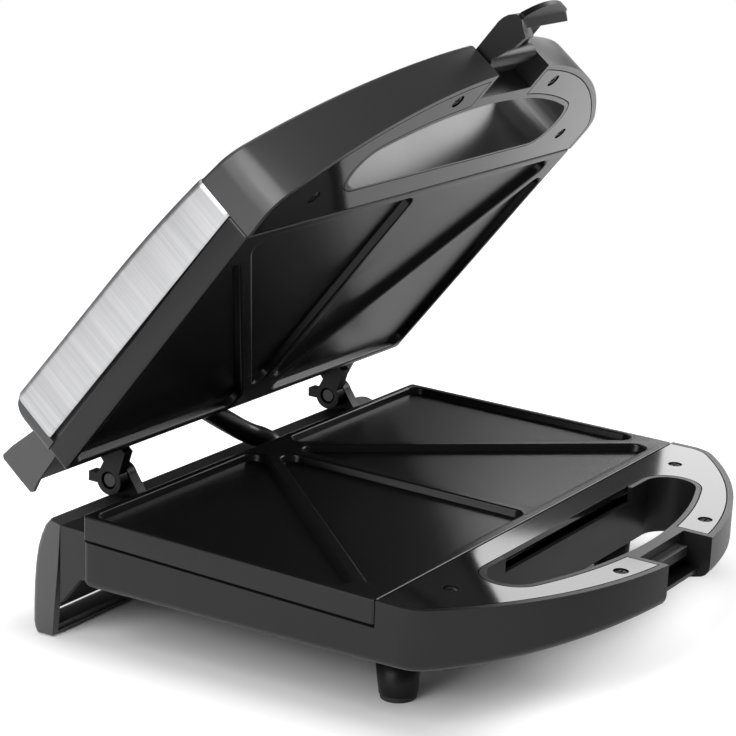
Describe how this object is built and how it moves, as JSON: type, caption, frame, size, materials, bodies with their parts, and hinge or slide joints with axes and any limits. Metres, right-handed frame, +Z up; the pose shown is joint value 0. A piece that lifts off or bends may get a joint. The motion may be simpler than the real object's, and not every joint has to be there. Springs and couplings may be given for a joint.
{
  "type": "sandwich toaster",
  "caption": "Hinged-lid sandwich toaster with triangular-pocket non-stick plates, D-shaped handles, front latch and brushed steel lid cover, held part open.",
  "frame": {"origin": "middle of the footprint's bounding box, on the table the feet stand on", "axes": "+Z up, +X to the right seen from the handle side, +Y from the handles to the hinge"},
  "size_m": [0.23, 0.2405, 0.2446],
  "materials": {
    "shell": "satin charcoal",
    "gloss_trim": "polished black",
    "coating": "glossy black non-stick coating on cast aluminium",
    "sheet": "plain sheet",
    "steel_skin": "brushed across its depth",
    "element": "heat-darkened steel tube",
    "screw": "zinc plated",
    "brass_part": "plain",
    "white_part": "plain ceramic white",
    "dark_trim": "satin black",
    "rubber_part": "matte black",
    "red_lens": "clear tinted",
    "green_lens": "clear tinted"
  },
  "bodies": {
    "base": {"lower_housing": "shell", "lower_handle_cover": "gloss_trim", "lower_cover_screws": "screw", "lower_cooking_plate": "coating", "lower_plate_screws": "screw", "lower_heating_element": "element", "lower_heat_shield": "sheet", "thermostat": "brass_part", "thermal_fuse": "white_part", "terminal_block": "white_part", "latch_catch": "dark_trim", "front_foot_left": "shell", "front_foot_right": "shell", "front_foot_pads": "rubber_part", "rear_stand": "shell", "rear_stand_pads": "rubber_part", "stand_screws": "screw", "cord_bush": "rubber_part", "base_hinge_left": "dark_trim", "base_hinge_right": "dark_trim", "hinge_pin_left": "screw", "hinge_pin_right": "screw", "lead_sleeve": "rubber_part"},
    "lid": {"lid_housing": "shell", "lid_handle_cover": "gloss_trim", "lid_cover_screws": "screw", "steel_cover": "steel_skin", "upper_cooking_plate": "coating", "upper_plate_screws": "screw", "upper_heating_element": "element", "upper_heat_shield": "sheet", "lid_hinge_left": "dark_trim", "lid_hinge_right": "dark_trim", "power_lamp": "red_lens", "ready_lamp": "green_lens", "latch_pin": "screw"},
    "latch": {"latch": "dark_trim"}
  },
  "joints": [
    {"name": "lid_hinge", "type": "hinge", "parent": "base", "child": "lid", "pos_m": [0, 0.09537, 0.05573], "axis": [1, 0, 0], "range_deg": [-45, 51.4], "deforming": ["lead_sleeve"]},
    {"name": "latch_hinge", "type": "hinge", "parent": "lid", "child": "latch", "pos_m": [0, -0.03799, 0.22318], "axis": [1, 0, 0], "range_deg": [0, 90]}
  ]
}
